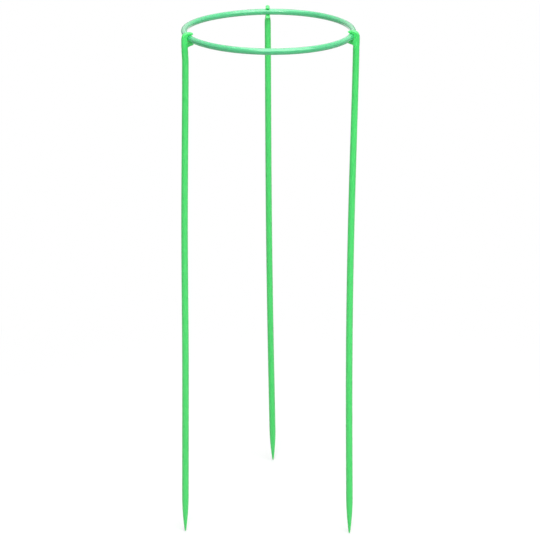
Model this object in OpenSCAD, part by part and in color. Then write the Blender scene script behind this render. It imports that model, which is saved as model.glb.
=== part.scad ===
// Plant support: a round ring carried by three moulded stakes.
// Each stake is one moulding, a pointed shaft with an open snap clip seated on its top.
// The clip grips the ring's bar from outside, so the stake can swing on the bar, be slid round it
// and be pulled off.
// Millimetres, +Z up. The origin is on the ring's axis, level with the stakes' points.

/* [Ring] */
// Outer diameter of the ring
ring_outer = 140; // [100:1:220]
// Diameter of the ring's round bar
bar_d = 5; // [3.5:0.1:8]

/* [Stake] */
// Length of a stake from the crown of its clip to its point
stake_length = 450; // [250:1:800]
// Diameter of the stake's round shaft
shaft_d = 5.3; // [4:0.1:9]
// Length of the tapered point
point_length = 37; // [15:1:60]
// Diameter of the point's blunt end
point_end_d = 1.2; // [0.6:0.1:2]

/* [Clip] */
// Width of the clip along the bar, between its two flats
clip_width = 3.4; // [2:0.1:3.8]
// Least gap between the bar and the clip's bore
clip_play = 0.03; // [0.02:0.01:0.1]
// Plastic behind the bar, out to the clip's back
back_wall = 4; // [3:0.1:6]
// Plastic above the bar, up to the clip's crown
crown_wall = 2.5; // [1.5:0.1:4]
// Outer radius of the hook's crown
crown_r = 6; // [5.5:0.1:6.5]
// How far the clip is set in from the shaft, at its front and back
neck_step = 0.2; // [0.1:0.05:0.5]
// How much narrower the clip's mouth is than the bar
snap = 0.2; // [0:0.05:0.6]
// Reach of the upper jaw's beak past the narrowest place of the mouth
beak_reach = 1.7; // [0.5:0.1:1.8]
// Reach of the lower jaw's lip past the narrowest place of the mouth
jaw_reach = 0.9; // [0.3:0.1:1.7]
// Slope of the flare on both jaws, from level
lip_angle = 36; // [25:1:40]
// Height of the lower lip's end face
lip_end = 1.1; // [0.5:0.1:2]
// Slope of the lower jaw's underside, from level
jaw_angle = 32; // [15:1:45]
// Fillet between the lower jaw and the neck
jaw_fillet = 1.1; // [0.4:0.1:2.5]
// Length of the arched shoulder where the round shaft gives way to the flats
shoulder_length = 6.5; // [4:0.1:12]
// Length of the round foot below the shoulder, by which the clip is seated on its shaft
foot_length = 2; // [1:0.5:5]

/* [Left stake] */
// Place of the left stake round the ring, from +X
left_angle = 202; // [165:0.5:225]
// Outward lean of the left stake
left_lean_angle = 1.3; // [-4:0.1:30]
// Sideways rock of the left stake in its clip
left_rock_angle = 0.3; // [-3:0.1:3]

/* [Right stake] */
// Place of the right stake round the ring, from +X
right_angle = -16.5; // [-45:0.5:15]
// Outward lean of the right stake
right_lean_angle = 0.9; // [-4:0.1:30]
// Sideways rock of the right stake in its clip
right_rock_angle = -2; // [-3:0.1:3]

/* [Rear stake] */
// Place of the rear stake round the ring, from +X
rear_angle = 91; // [60:0.5:120]
// Outward lean of the rear stake
rear_lean_angle = 2.9; // [-4:0.1:30]
// Sideways rock of the rear stake in its clip
rear_rock_angle = -0.7; // [-3:0.1:3]

/* [Hidden] */
$fn = 96;
ring_facets = 240;
arc_facets = 720;
ring_green = [0.35, 0.86, 0.58];
stake_green = [0.31, 0.90, 0.43];
// How far a cutting shape runs past what it cuts, and how far joined shapes run into each other
past = 1;

// A stance is [place round the ring, outward lean, sideways rock]
left_stance = [left_angle, left_lean_angle, left_rock_angle];
right_stance = [right_angle, right_lean_angle, right_rock_angle];
rear_stance = [rear_angle, rear_lean_angle, rear_rock_angle];
stances = [left_stance, right_stance, rear_stance];

bar_r = bar_d / 2;
ring_r = ring_outer / 2 - bar_r;
shaft_r = shaft_d / 2;
neck_r = shaft_r - neck_step;

// The bore is straight and the bar is curved, and a stake may rock: the bore leaves room for both
half_width = clip_width / 2;
bar_sag = half_width * half_width / (2 * ring_r);
rock_room = half_width * tan(max([for (s = stances) abs(s[2])]));
bore_r = bar_r + clip_play + bar_sag + rock_room;

// The clip is drawn from the bar's axis: x outwards, z up
back_x = bore_r + back_wall;
shaft_x = back_x - neck_r;
neck_x = shaft_x - neck_r;
crown_top = bore_r + crown_wall;
crown_z = crown_top - crown_r;
throat_z = bar_r - snap / 2;
throat_x = -sqrt(bore_r * bore_r - throat_z * throat_z);
beak_x = throat_x - beak_reach;
beak_z = throat_z + beak_reach * tan(lip_angle);
jaw_x = throat_x - jaw_reach;
lip_z = -throat_z - jaw_reach * tan(lip_angle);
jaw_z = lip_z - lip_end;
neck_z = jaw_z - (neck_x - jaw_x) * tan(jaw_angle);

// Levels along the stake
shoulder_z = neck_z - jaw_fillet;
foot_z = shoulder_z - foot_length;
point_z = crown_top - stake_length;
point_base_z = point_z + point_length;

// The ring stands where the lowest point touches the ground
function point_drop(s) = -point_z * cos(s[1]) * cos(s[2]) - shaft_x * sin(s[1]);
ring_z = max([for (s = stances) point_drop(s)]);

// Half outline of a body that narrows along +Y from base_r to end_r: one arc, upright at its base.
// Its root runs below the base, into the body that it grows from.
module ogive(base_r, length, end_r = 0, root = 0) {
    drop = base_r - end_r;
    arc_r = (length * length + drop * drop) / (2 * drop);
    intersection() {
        translate([base_r - arc_r, 0])
            circle(arc_r, $fn = arc_facets);
        translate([0, -root])
            square([base_r, length + root]);
    }
}

// The hook over the bar: the neck's round section turned about the crown's axis, filled inside
module crown() {
    turn_r = crown_r - neck_r;
    translate([back_x - crown_r, 0, crown_z])
        rotate([90, 0, 0]) {
            rotate_extrude()
                translate([turn_r, 0])
                    circle(neck_r);
            cylinder(r = turn_r, h = clip_width, center = true);
        }
}

// The clip's mouth: the flared gap from inside the bore, and all that lies beyond the jaws' ends
module mouth() {
    far_x = -back_x - past;
    inner_x = throat_x + past;
    inner_z = throat_z - past * tan(lip_angle);
    polygon([
        [inner_x, -inner_z],
        [inner_x, inner_z],
        [beak_x, beak_z],
        [beak_x, crown_top + past],
        [far_x, crown_top + past],
        [far_x, neck_z - past],
        [jaw_x, neck_z - past],
        [jaw_x, lip_z]
    ]);
}

// The space under the lower jaw, with a round corner against the neck
module under_jaw() {
    run = jaw_fillet * (1 - sin(jaw_angle)) / cos(jaw_angle);
    floor_z = crown_z - crown_r - past;
    centre = [neck_x - jaw_fillet, neck_z - run];
    start = [neck_x - run * cos(jaw_angle), neck_z + run * sin(jaw_angle)];
    polygon([
        [jaw_x - past, jaw_z + past * tan(jaw_angle)],
        start,
        centre,
        [neck_x, centre[1]],
        [neck_x, floor_z],
        [jaw_x - past, floor_z]
    ]);
    translate(centre)
        circle(jaw_fillet);
}

// Runs an outline in the clip's plane right across the stake
module across() {
    rotate([90, 0, 0])
        linear_extrude(shaft_d + 2 * past, center = true)
            children();
}

// The flat-sided hook with its two jaws, still without its bore
module hook() {
    room = back_x + past;
    difference() {
        intersection() {
            crown();
            translate([-room, -half_width, shoulder_z])
                cube([2 * room, clip_width, 2 * room]);
        }
        across() mouth();
        across() under_jaw();
    }
}

// The flattened neck that carries the hook, rooted halfway down the foot
module neck() {
    root_z = shoulder_z - foot_length / 2;
    height = crown_z - root_z;
    translate([shaft_x, 0, root_z])
        intersection() {
            cylinder(r = neck_r, h = height);
            translate([-shaft_r, -half_width, 0])
                cube([shaft_d, clip_width, height]);
        }
}

// The round foot, and the arched shoulder that leads from it into the neck's flats
module shoulder() {
    translate([shaft_x, 0, shoulder_z])
        rotate_extrude() {
            translate([0, -foot_length])
                square([shaft_r, foot_length]);
            ogive(shaft_r, shoulder_length, root = foot_length / 2);
        }
}

// The clip on the stake's top: hook, neck and shoulder, with the bore that the bar lies in
module clip() {
    difference() {
        union() {
            hook();
            neck();
            shoulder();
        }
        across() circle(bore_r);
    }
}

// The round shaft with its point, as one turned body
module shaft() {
    end_r = point_end_d / 2;
    translate([shaft_x, 0, point_base_z])
        rotate_extrude() {
            square([shaft_r, foot_z - point_base_z]);
            mirror([0, 1])
                ogive(shaft_r, point_length - end_r, end_r, past);
            translate([0, end_r - point_length])
                intersection() {
                    circle(end_r);
                    translate([0, -end_r])
                        square([end_r, shaft_d]);
                }
        }
}

// Hangs what is drawn from the bar's axis on the bar, at a stake's stance
module hung(stance) {
    color(stake_green)
        rotate([0, 0, stance[0]])
            translate([ring_r, 0, ring_z])
                rotate([stance[2], -stance[1], 0])
                    children();
}

module ring() {
    color(ring_green)
        translate([0, 0, ring_z])
            rotate_extrude($fn = ring_facets)
                translate([ring_r, 0])
                    circle(bar_r);
}

module stake_left() {
    hung(left_stance) shaft();
}

module clip_left() {
    hung(left_stance) clip();
}

module stake_right() {
    hung(right_stance) shaft();
}

module clip_right() {
    hung(right_stance) clip();
}

module stake_rear() {
    hung(rear_stance) shaft();
}

module clip_rear() {
    hung(rear_stance) clip();
}

ring();
stake_left();
clip_left();
stake_right();
clip_right();
stake_rear();
clip_rear();
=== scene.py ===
import math
from collections import namedtuple

import bpy
import numpy as np
from mathutils import Euler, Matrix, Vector


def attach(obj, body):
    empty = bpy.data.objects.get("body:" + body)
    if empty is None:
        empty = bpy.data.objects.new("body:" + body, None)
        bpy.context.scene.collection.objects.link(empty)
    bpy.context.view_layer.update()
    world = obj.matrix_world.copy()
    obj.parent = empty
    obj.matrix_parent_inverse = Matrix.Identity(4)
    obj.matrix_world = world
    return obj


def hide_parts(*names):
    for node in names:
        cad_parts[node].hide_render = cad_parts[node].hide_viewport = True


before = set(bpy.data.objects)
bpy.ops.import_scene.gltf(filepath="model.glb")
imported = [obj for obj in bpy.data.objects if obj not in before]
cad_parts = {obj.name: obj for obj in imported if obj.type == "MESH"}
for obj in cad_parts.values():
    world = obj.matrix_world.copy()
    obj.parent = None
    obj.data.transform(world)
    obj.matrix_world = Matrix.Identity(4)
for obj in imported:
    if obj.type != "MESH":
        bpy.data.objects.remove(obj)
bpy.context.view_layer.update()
scene = bpy.context.scene

MM = 0.001
WHOLE_TURN = 2 * math.pi

# Sizes of the set as in the part's source, in millimetres, with angles in radians
RING_OUTER = 140
BAR_D = 5
STAKE_LENGTH = 450
SHAFT_D = 5.3
POINT_LENGTH = 37
POINT_END_D = 1.2
CLIP_WIDTH = 3.4
CLIP_PLAY = 0.03
BACK_WALL = 4
CROWN_WALL = 2.5
CROWN_R = 6
NECK_STEP = 0.2
SNAP = 0.2
BEAK_REACH = 1.7
JAW_REACH = 0.9
LIP_ANGLE = math.radians(36)
LIP_END = 1.1
JAW_ANGLE = math.radians(32)
JAW_FILLET = 1.1
SHOULDER_LENGTH = 6.5

# Place round the ring, outward lean and sideways rock of each stake, in degrees, as in the part's source,
# then the greatest bow of its shaft along +X, in millimetres
Stance = namedtuple("Stance", "angle lean rock bow")
STAKES = {
    "left": Stance(202, 1.3, 0.3, 0.0),
    "right": Stance(-16.5, 0.9, -2.0, -2.4),
    "rear": Stance(91, 2.9, -0.7, -1.1),
}

# How strongly a bow gathers towards the middle of its shaft
BOW_POWER = 1.5

# Turning points of a shaft's slight wave along +X: share of the way down, then millimetres
WAVES = {"left": ((0, 0), (0.025, 0.48), (0.345, -0.32), (0.64, 0.33), (1, 0.1))}

# How far the photographed ring's bar wanders out of round, in millimetres, on the arc after each stake
RING_WANDER = {"left": 0.8, "right": 0.5, "rear": 0.85}

# Moulding details, in millimetres: rounded edges, and the deeper and longer round end of the lower jaw
EDGE_ROUND = 0.45
LIP_ROUND = 0.2
MOUTH_ROUND = 0.35
JAW_DEEPER = 0.9
JAW_FURTHER = 1.0
JAW_ROUND = 0.8

# The fuller outer corner and back of the hook, the long soft start of the shoulder and its fillet,
# and the shaft's slight swell towards its point
CORNER_POWER = 2.4
BACK_BULGE = 0.35
BULGE_RISE = 5
SHOULDER_DROP = 2.5
SHOULDER_BLEND = 0.9
SHAFT_SWELL = 0.11

# The parting line's ridge, which fades in at some distance from the bore
RIDGE_HEIGHT = 0.05
RING_RIDGE_HEIGHT = 0.03
RIDGE_WIDTH = 0.16
RIDGE_START = 0.4
RIDGE_FADE = 1.2

# The grid that the clip is meshed on: its step, the room round the clip, and how far it runs down the shaft
GRID_STEP = 0.16
FRONT_ROOM = 0.5
BACK_ROOM = 0.6
SIDE_ROOM = 0.4
TOP_ROOM = 0.5
GRID_FOOT = 1.5

# Rows of the shaft below the grid: first close ones, at these distances, where the grid's rim evens out
RIM_ROWS = (0.4, 0.9, 1.5, 2.3, 3.4, 5)
SHAFT_START = 9
SHAFT_ROWS = 96
POINT_ROWS = 60
END_ROWS = 7

# Sides of the ring, round its axis and round its bar
RING_SIDES = 720
BAR_SIDES = 56

# The clip is drawn from the bar's axis: x outwards, z up
BAR_R = BAR_D / 2
RING_R = RING_OUTER / 2 - BAR_R
SHAFT_R = SHAFT_D / 2
NECK_R = SHAFT_R - NECK_STEP
HALF_WIDTH = CLIP_WIDTH / 2
MOST_ROCK = math.radians(max(abs(stance.rock) for stance in STAKES.values()))
BORE_R = BAR_R + CLIP_PLAY + HALF_WIDTH ** 2 / (2 * RING_R) + HALF_WIDTH * math.tan(MOST_ROCK)
BACK_X = BORE_R + BACK_WALL
SHAFT_X = BACK_X - NECK_R
NECK_X = SHAFT_X - NECK_R
CROWN_X = BACK_X - CROWN_R
CROWN_TOP = BORE_R + CROWN_WALL
CROWN_Z = CROWN_TOP - CROWN_R
THROAT_Z = BAR_R - SNAP / 2
THROAT_X = -math.sqrt(BORE_R ** 2 - THROAT_Z ** 2)
BEAK_X = THROAT_X - BEAK_REACH
JAW_X = THROAT_X - JAW_REACH
JAW_Z = -THROAT_Z - JAW_REACH * math.tan(LIP_ANGLE) - LIP_END
NECK_Z = JAW_Z - (NECK_X - JAW_X) * math.tan(JAW_ANGLE)
JAW_END_X = JAW_X - JAW_FURTHER
JAW_SLOPE = math.atan2(JAW_Z - JAW_DEEPER - NECK_Z, NECK_X - JAW_END_X)
SHOULDER_Z = NECK_Z - JAW_FILLET
ARCH_Z = SHOULDER_Z - SHOULDER_DROP
ARCH_LENGTH = SHOULDER_LENGTH + SHOULDER_DROP
POINT_Z = CROWN_TOP - STAKE_LENGTH
POINT_BASE_Z = POINT_Z + POINT_LENGTH
POINT_END_R = POINT_END_D / 2


def point_drop(stance):
    """How far below the bar's axis a stake's point stands."""
    lean, rock = math.radians(stance.lean), math.radians(stance.rock)
    return -POINT_Z * math.cos(lean) * math.cos(rock) - SHAFT_X * math.sin(lean)


# The ring stands where the lowest point touches the ground
RING_Z = max(point_drop(stance) for stance in STAKES.values())


# Shapes of the pieces. A field is the distance to a surface in millimetres, negative inside the plastic.

def cut_round(a, b, r):
    """What lies in both a and b, with the edge between them rounded to r."""
    return np.minimum(np.maximum(a, b), -r) + np.hypot(np.maximum(a + r, 0), np.maximum(b + r, 0))


def join_round(a, b, r):
    """What lies in a or b, with a fillet of r between them."""
    return np.maximum(np.minimum(a, b), r) - np.hypot(np.maximum(r - a, 0), np.maximum(r - b, 0))


def eased(share):
    """A smooth step from 0 to 1."""
    share = np.clip(share, 0, 1)
    return share ** 2 * (3 - 2 * share)


def ridge(off):
    """Profile of the parting line's ridge at a distance from its middle, where it is 1."""
    return np.exp(-((off / RIDGE_WIDTH) ** 2))


def clip_field(p):
    """Field of the clip and the top of its shaft."""
    x, y, z = p[..., 0], p[..., 1], p[..., 2]

    # The hook: the neck's round section turned over the bar, fuller at its back and outer corner,
    # and cut to two flats
    side = x - CROWN_X - BACK_BULGE * eased((z - ARCH_Z) / BULGE_RISE)
    rise = np.maximum(z - CROWN_Z, 0)
    full = (np.maximum(side, 0) ** CORNER_POWER + rise ** CORNER_POWER) ** (1 / CORNER_POWER)
    reach = np.where(z > CROWN_Z, np.where(side > 0, full, np.hypot(side, rise)), side)
    back = np.hypot(np.maximum(reach - CROWN_R + NECK_R, 0), y) - NECK_R
    flats = np.abs(y) - HALF_WIDTH
    body = cut_round(back, flats, EDGE_ROUND)

    # The space under the lower jaw and before the neck
    under = -(math.sin(JAW_SLOPE) * (x - NECK_X) + math.cos(JAW_SLOPE) * (z - NECK_Z))
    front = np.hypot(np.minimum(x - SHAFT_X, 0), y) - NECK_R
    body = cut_round(body, join_round(under, front, JAW_FILLET), LIP_ROUND)

    # The bore with its flared mouth, and the ends of the two jaws
    gape = -(math.sin(LIP_ANGLE) * (x - THROAT_X) + math.cos(LIP_ANGLE) * (np.abs(z) - THROAT_Z))
    bore = BORE_R - np.hypot(x, z)
    body = cut_round(body, cut_round(gape, bore, LIP_ROUND), MOUTH_ROUND)
    upper = z > 0
    ends = np.where(upper, BEAK_X, JAW_END_X) - x
    body = cut_round(body, ends, np.where(upper, LIP_ROUND, JAW_ROUND))

    # The arched shoulder that leads from the round shaft into the neck's flats
    arc = (ARCH_LENGTH ** 2 + SHAFT_R ** 2) / (2 * SHAFT_R)
    out = np.hypot(x - SHAFT_X, y)
    shoulder = np.hypot(out + arc - SHAFT_R, np.maximum(z - ARCH_Z, 0)) - arc
    blend = SHOULDER_BLEND * np.clip(1 - ((x - SHAFT_X) / NECK_R) ** 2, 0, 1)
    body = join_round(body, shoulder, blend)

    away = np.clip((np.hypot(x, z) - BORE_R - RIDGE_START) / RIDGE_FADE, 0, 1)
    return body - RIDGE_HEIGHT * away * ridge(y)


def surface(field, low, high, step):
    """Quads on a field's zero level, open at the floor of the box from low to high.

    Returns the vertices, the faces and the numbers of the vertices on the floor.
    """
    axes = [np.arange(a, b + step / 2, step) for a, b in zip(low, high)]
    grid = np.stack(np.meshgrid(*axes, indexing="ij"), -1)
    value = field(grid)
    cells = tuple(n - 1 for n in value.shape)

    # One vertex for each cell that the surface passes through, at the mean of its crossings of the edges
    total = np.zeros(cells + (3,))
    count = np.zeros(cells)
    crossings = []
    for axis in range(3):
        along = np.moveaxis(value, axis, 0)
        lower, upper = np.moveaxis(along[:-1], 0, axis), np.moveaxis(along[1:], 0, axis)
        cross = (lower < 0) != (upper < 0)
        share = np.where(cross, lower / np.where(cross, lower - upper, 1), 0)
        start = grid[tuple(slice(0, -1) if i == axis else slice(None) for i in range(3))]
        place = start + share[..., None] * step * np.eye(3)[axis]
        others = [i for i in range(3) if i != axis]
        for da in (0, 1):
            for db in (0, 1):
                pick = [slice(None)] * 3
                pick[others[0]] = slice(da, da + cells[others[0]])
                pick[others[1]] = slice(db, db + cells[others[1]])
                hit = cross[tuple(pick)]
                total += np.where(hit[..., None], place[tuple(pick)], 0)
                count += hit
        crossings.append((axis, others, cross, lower < 0))
    used = count > 0
    index = np.full(cells, -1)
    index[used] = np.arange(used.sum())
    verts = total[used] / count[used][:, None]

    # One quad for each edge of the grid that the surface crosses, between the four cells round that edge
    faces = []
    for axis, others, cross, inside in crossings:
        where = np.argwhere(cross)
        within = np.all([(where[:, o] > 0) & (where[:, o] < cells[o]) for o in others], axis=0)
        where = where[within]
        corners = []
        for da, db in ((1, 1), (0, 1), (0, 0), (1, 0)):
            at = where.copy()
            at[:, others[0]] -= da
            at[:, others[1]] -= db
            corners.append(index[tuple(at.T)])
        quad = np.stack(corners, 1)
        flip = inside[tuple(where.T)] == (axis == 1)
        quad[flip] = quad[flip][:, ::-1]
        faces.append(quad)
    floor_cells = index[:, :, 0]
    return verts, np.concatenate(faces), np.sort(floor_cells[floor_cells >= 0])


def settle(field, verts, rounds=4, eps=0.01, least_slope=0.2, most_move=0.1):
    """Moves vertices along the field's slope onto its zero level."""
    for _ in range(rounds):
        slope = np.stack([
            (field(verts + eps * axis) - field(verts - eps * axis)) / (2 * eps) for axis in np.eye(3)
        ], -1)
        squared = np.maximum((slope ** 2).sum(-1), least_slope)
        verts = verts - np.clip(field(verts) / squared, -most_move, most_move)[:, None] * slope
    return verts


def shaft_radius(z):
    """Radius of the shaft and its point at a level, down to the point's round end."""
    length, drop = POINT_LENGTH - POINT_END_R, SHAFT_R - POINT_END_R
    arc = (length ** 2 + drop ** 2) / (2 * drop)
    fall = np.clip(POINT_BASE_Z - z, 0, length)
    taper = SHAFT_R - arc + np.sqrt(arc ** 2 - fall ** 2)
    cap = np.sqrt(np.maximum(POINT_END_R ** 2 - np.minimum(z - POINT_Z - POINT_END_R, 0) ** 2, 0))
    down = np.clip((ARCH_Z - z) / (ARCH_Z - POINT_BASE_Z), 0, 1)
    return np.where(z < POINT_Z + POINT_END_R, cap, taper) * (1 + SHAFT_SWELL * down)


def shaft_levels(top):
    """Levels of the shaft's rows, from just below the grid's rim to just above the point."""
    return np.concatenate([
        top - np.array(RIM_ROWS),
        np.linspace(top - SHAFT_START, POINT_BASE_Z, SHAFT_ROWS),
        POINT_BASE_Z - (POINT_LENGTH - POINT_END_R) * np.linspace(0, 1, POINT_ROWS + 1)[1:],
        POINT_Z + POINT_END_R * (1 - np.sin(np.linspace(0, math.pi / 2, END_ROWS + 2)[1:-1])),
    ])


def shaft_row(z, turn):
    """One row of vertices round the shaft at a level. The ridge on it fades out towards the point."""
    radius = float(shaft_radius(np.array(z)))
    fade = min(1, radius / SHAFT_R) ** 2
    r = radius + RIDGE_HEIGHT * fade * ridge(radius * np.sin(turn))
    return np.stack([SHAFT_X + r * np.cos(turn), r * np.sin(turn), np.full(len(turn), z)], 1)


def stake_mesh():
    """One stake, clip and shaft, drawn from the bar's axis in millimetres."""
    foot_z = ARCH_Z - GRID_FOOT

    # Half a step more sets the grid evenly about the stake's middle
    half = (math.ceil((SHAFT_R + SIDE_ROOM) / GRID_STEP) + 0.5) * GRID_STEP
    low = (BEAK_X - FRONT_ROOM, -half, foot_z - GRID_STEP / 2)
    high = (BACK_X + BACK_ROOM, half, CROWN_TOP + TOP_ROOM)
    verts, faces, rim = surface(clip_field, low, high, GRID_STEP)
    verts = settle(clip_field, verts)
    verts[rim, 2] = foot_z

    # The rim in order round the shaft, and the even spacing that the rows below it ease into
    around = np.arctan2(verts[rim, 1], verts[rim, 0] - SHAFT_X)
    rim = rim[np.argsort(around)]
    around = np.sort(around)
    count = len(rim)
    even = -math.pi + (np.arange(count) + 0.5) * WHOLE_TURN / count
    even += np.mean(around - even)

    base = len(verts)
    levels = shaft_levels(foot_z)
    parts = [verts]
    rows = [rim]
    for number, z in enumerate(levels):
        ease = min(1, (number + 1) / len(RIM_ROWS))
        parts.append(shaft_row(z, around + (even - around) * ease))
        rows.append(base + number * count + np.arange(count))
    tip = base + len(levels) * count
    parts.append(np.array([[SHAFT_X, 0, POINT_Z]]))

    quads = [faces]
    for upper, lower in zip(rows, rows[1:]):
        quads.append(np.stack([np.roll(upper, -1), upper, lower, np.roll(lower, -1)], 1))
    polygons = np.concatenate(quads).tolist()
    last = rows[-1]
    polygons += [[int(last[(i + 1) % count]), int(last[i]), tip] for i in range(count)]
    return np.concatenate(parts), polygons


def wave(down, turns):
    """Sideways offset of a shaft at shares of the way down, easing from one turning point to the next."""
    out = np.zeros(len(down))
    for (start, before), (end, after) in zip(turns, turns[1:]):
        out += (after - before) * eased((down - start) / (end - start))
    return out


def hung(verts, side):
    """A stake's vertices hung on the ring at its side's stance, and bowed, in the row frame in metres."""
    angle, lean, rock, bow = STAKES[side]
    tilt = np.array(Euler((math.radians(rock), -math.radians(lean), 0), "XYZ").to_matrix())
    turn = np.array(Euler((0, 0, math.radians(angle)), "XYZ").to_matrix())
    out = (verts @ tilt.T + np.array([RING_R, 0, RING_Z])) @ turn.T
    down = np.clip((SHOULDER_Z - verts[:, 2]) / (SHOULDER_Z - POINT_Z), 0, 1)
    out[:, 0] += bow * (4 * down * (1 - down)) ** BOW_POWER + wave(down, WAVES.get(side, ()))
    return out * MM


def ring_wander(turn):
    """How far the bar is out of round at an angle: nothing at a clip, then inwards, then outwards."""
    stops = sorted((stance.angle % 360, side) for side, stance in STAKES.items())
    ends = [angle for angle, _ in stops[1:]] + [stops[0][0] + 360]
    out = np.zeros(len(turn))
    for (start, side), end in zip(stops, ends):
        share = (np.degrees(turn) - start) % 360 / (end - start)
        out -= np.where(share < 1, RING_WANDER[side] * np.sin(WHOLE_TURN * share), 0)
    return out


def ring_mesh():
    """The ring's round bar, with the parting line's ridge round its outer and inner sides, in metres."""
    turn = np.arange(RING_SIDES) * WHOLE_TURN / RING_SIDES
    wind = np.arange(BAR_SIDES) * WHOLE_TURN / BAR_SIDES
    r = BAR_R + RING_RIDGE_HEIGHT * ridge(BAR_R * np.sin(wind))
    out = RING_R + ring_wander(turn)[:, None] + r * np.cos(wind)
    rise = np.broadcast_to(RING_Z + r * np.sin(wind), (RING_SIDES, BAR_SIDES))
    verts = np.stack([np.cos(turn)[:, None] * out, np.sin(turn)[:, None] * out, rise], -1)
    at = np.arange(RING_SIDES * BAR_SIDES).reshape(RING_SIDES, BAR_SIDES)
    on, up = np.roll(at, -1, 0), np.roll(at, -1, 1)
    both = np.roll(on, -1, 1)
    return verts.reshape(-1, 3) * MM, np.stack([at, on, both, up], -1).reshape(-1, 4).tolist()


def make_piece(name, verts, faces, material):
    """A smooth-shaded mesh object in the scene."""
    mesh = bpy.data.meshes.new(name)
    mesh.from_pydata(verts.tolist(), [], faces)
    mesh.validate()
    mesh.polygons.foreach_set("use_smooth", [True] * len(mesh.polygons))
    mesh.materials.append(material)
    piece = bpy.data.objects.new(name, mesh)
    scene.collection.objects.link(piece)
    return piece


# Materials

# How far the plastic's roughness varies below and above its own value
SMOOTHER = 0.02
ROUGHER = 0.03


def feed(tree, node, inputs):
    """Sets a node's inputs, each to a value or to the output that feeds it."""
    for key, value in inputs.items():
        if isinstance(value, bpy.types.NodeSocket):
            tree.links.new(value, node.inputs[key])
        else:
            node.inputs[key].default_value = value


def add_node(tree, kind, inputs, **settings):
    """A new shader node's outputs."""
    node = tree.nodes.new("ShaderNode" + kind)
    for name, value in settings.items():
        setattr(node, name, value)
    feed(tree, node, inputs)
    return node.outputs


def product(tree, a, b):
    """The product of two values."""
    return add_node(tree, "Math", {0: a, 1: b}, operation="MULTIPLY")["Value"]


def greater(tree, a, b):
    """The greater of two values."""
    return add_node(tree, "Math", {0: a, 1: b}, operation="MAXIMUM")["Value"]


def smooth_step(tree, value, start, end):
    """A smooth step from 0 at the start to 1 at the end."""
    inputs = {"Value": value, "From Min": start, "From Max": end}
    return add_node(tree, "MapRange", inputs, interpolation_type="SMOOTHSTEP")["Result"]


def plastic(name, light, deep, roughness, coat):
    """Moulded semi-gloss plastic: two near greens that flow along it, a fine skin and a varied gloss."""
    made = bpy.data.materials.new(name)
    made.use_nodes = True
    tree = made.node_tree
    place = add_node(tree, "TexCoord", {})["Object"]

    def noise(scale, stretch, detail):
        vector = add_node(tree, "Mapping", {"Vector": place, "Scale": stretch})["Vector"]
        return add_node(tree, "TexNoise", {"Vector": vector, "Scale": scale, "Detail": detail})["Fac"]

    def spread(fac, low, high):
        """The middle range of a noise, spread from low to high."""
        inputs = {"Value": fac, "From Min": 0.3, "From Max": 0.7, "To Min": low, "To Max": high}
        return add_node(tree, "MapRange", inputs)["Result"]

    flow = spread(noise(scale=260, stretch=(1, 1, 0.05), detail=4), 0, 1)
    greens = {"Factor": flow, "A": (*deep, 1), "B": (*light, 1)}
    smear = noise(scale=420, stretch=(1, 1, 0.2), detail=3)
    skin = noise(scale=2600, stretch=(1, 1, 1), detail=2)
    grain = {"Height": skin, "Strength": 0.05, "Distance": 0.00003}
    feed(tree, tree.nodes["Principled BSDF"], {
        "Base Color": add_node(tree, "Mix", greens, data_type="RGBA")["Result"],
        "Roughness": spread(smear, roughness - SMOOTHER, roughness + ROUGHER),
        "Normal": add_node(tree, "Bump", grain)["Normal"],
        "IOR": 1.5,
        "Coat Weight": coat,
        "Coat Roughness": 0.18,
        "Subsurface Weight": 0.12,
        "Subsurface Radius": (0.3, 1.0, 0.4),
        "Subsurface Scale": 0.0015,
    })
    return made


stake_plastic = plastic(
    "stake_plastic", light=(0.072, 0.84, 0.178), deep=(0.064, 0.79, 0.160), roughness=0.28, coat=0.5)
ring_plastic = plastic(
    "ring_plastic", light=(0.074, 0.58, 0.240), deep=(0.069, 0.56, 0.228), roughness=0.22, coat=0.85)

# The pieces

ring = make_piece("support_ring", *ring_mesh(), ring_plastic)
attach(ring, "ring")
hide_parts("ring")

stake_verts, stake_faces = stake_mesh()
for side in STAKES:
    stake = make_piece(f"moulded_stake_{side}", hung(stake_verts, side), stake_faces, stake_plastic)
    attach(stake, f"stake_{side}")
    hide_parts(f"stake_{side}", f"clip_{side}")

# Floor, light and camera, in metres

FLOOR_HALF = 6
FLOOR_GAP = 0.0005
FLOOR_GREY = 0.66

# For the camera the floor is lifted, and turns into plain white at this distance from the ring's axis
FLOOR_LIFT = 0.36
FADE_START, FADE_END = 0.18, 0.5

# In reflections the floor turns white at this distance behind, and the wall at this upward part of a ray
SWEEP_START, SWEEP_END = 0.6, 1.4
WALL_START, WALL_END = 0.04, 0.16

# Strength of the wall as a light, and where it is seen as white
WALL_LIGHT = 0.12
WHITE = 1.0


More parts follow.
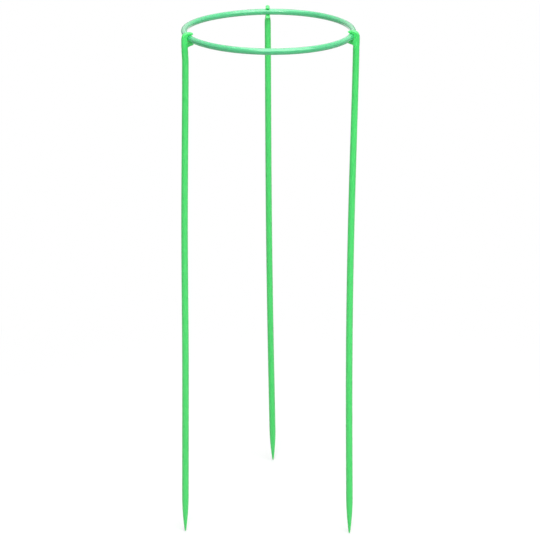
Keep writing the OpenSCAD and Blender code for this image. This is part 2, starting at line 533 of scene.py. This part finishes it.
def floor_material():
    """Pale matt floor that keeps the shadows near the part and is white further out."""
    made = bpy.data.materials.new("floor")
    made.use_nodes = True
    tree = made.node_tree
    tree.nodes.remove(tree.nodes["Principled BSDF"])
    ray = add_node(tree, "LightPath", {})
    spot = add_node(tree, "TexCoord", {})["Object"]
    paint = add_node(tree, "BsdfDiffuse", {"Color": (FLOOR_GREY, FLOOR_GREY, FLOOR_GREY, 1)})["BSDF"]
    raised = product(tree, ray["Is Camera Ray"], FLOOR_LIFT)
    lift = add_node(tree, "Emission", {"Strength": raised})["Emission"]
    near = add_node(tree, "AddShader", {0: paint, 1: lift})["Shader"]
    span = add_node(tree, "VectorMath", {0: spot}, operation="LENGTH")["Value"]
    seen = product(tree, smooth_step(tree, span, FADE_START, FADE_END), ray["Is Camera Ray"])
    depth = add_node(tree, "SeparateXYZ", {"Vector": spot})["Y"]
    mirrored = product(tree, smooth_step(tree, depth, SWEEP_START, SWEEP_END), ray["Is Glossy Ray"])
    white = add_node(tree, "Emission", {"Strength": WHITE})["Emission"]
    mixed = add_node(tree, "MixShader", {"Fac": greater(tree, seen, mirrored), 1: near, 2: white})["Shader"]
    feed(tree, tree.nodes["Material Output"], {"Surface": mixed})
    return made


def studio_world():
    """Weak even light, with a wall that is white to the camera and in reflections."""
    made = bpy.data.worlds.new("studio")
    made.use_nodes = True
    tree = made.node_tree
    ray = add_node(tree, "LightPath", {})
    heading = add_node(tree, "TexCoord", {})["Generated"]
    rise = add_node(tree, "SeparateXYZ", {"Vector": heading})["Z"]
    mirrored = product(tree, smooth_step(tree, rise, WALL_START, WALL_END), ray["Is Glossy Ray"])
    shown = greater(tree, ray["Is Camera Ray"], mirrored)
    level = add_node(tree, "MapRange", {"Value": shown, "To Min": WALL_LIGHT, "To Max": WHITE})["Result"]
    feed(tree, tree.nodes["Background"], {"Color": (1, 1, 1, 1), "Strength": level})
    return made


def lamp(name, place, aim, size, power):
    """A soft rectangular lamp that faces a point."""
    light = bpy.data.lights.new(name, "AREA")
    light.shape = "RECTANGLE"
    light.size, light.size_y = size
    light.energy = power
    made = bpy.data.objects.new(name, light)
    scene.collection.objects.link(made)
    made.location = place
    made.rotation_euler = (Vector(aim) - Vector(place)).to_track_quat("-Z", "Y").to_euler()


floor_mesh = bpy.data.meshes.new("floor")
floor_corners = [(x * FLOOR_HALF, y * FLOOR_HALF, 0) for x, y in ((-1, -1), (1, -1), (1, 1), (-1, 1))]
floor_mesh.from_pydata(floor_corners, [], [(0, 1, 2, 3)])
floor_mesh.materials.append(floor_material())
floor = bpy.data.objects.new("floor", floor_mesh)
scene.collection.objects.link(floor)
floor.location.z = -FLOOR_GAP

scene.world = studio_world()
lamp("overhead", place=(0, 0.1, 2.1), aim=(0, 0, 0.4), size=(1.3, 1.7), power=22)
lamp("front", place=(0.7, -1.7, 2.5), aim=(0, 0, 0.25), size=(3.6, 1.8), power=75)
lamp("glint", place=(-0.5, -1.9, 1.5), aim=(0, 0, 0.43), size=(0.25, 0.4), power=5)

# The camera's place from the ring's centre in millimetres, and its focal length in pixels of the picture
CAMERA_FROM_RING = (-2.73, -1219.89, 293.36)
CAMERA_PITCH = math.radians(22.313)
CAMERA_YAW = math.radians(0.157)
CAMERA_FOCAL = 1547.1
PICTURE_WIDTH = 540
SENSOR_WIDTH = 36
VIEW_DEPTH = 50

camera = bpy.data.objects.new("camera", bpy.data.cameras.new("camera"))
scene.collection.objects.link(camera)
camera.location = tuple((a + b) * MM for a, b in zip(CAMERA_FROM_RING, (0, 0, RING_Z)))
camera.rotation_euler = (math.pi / 2 - CAMERA_PITCH, 0, -CAMERA_YAW)
camera.data.sensor_width = SENSOR_WIDTH
camera.data.lens = SENSOR_WIDTH * CAMERA_FOCAL / PICTURE_WIDTH
camera.data.clip_end = VIEW_DEPTH
scene.camera = camera
scene.view_settings.view_transform = "Standard"
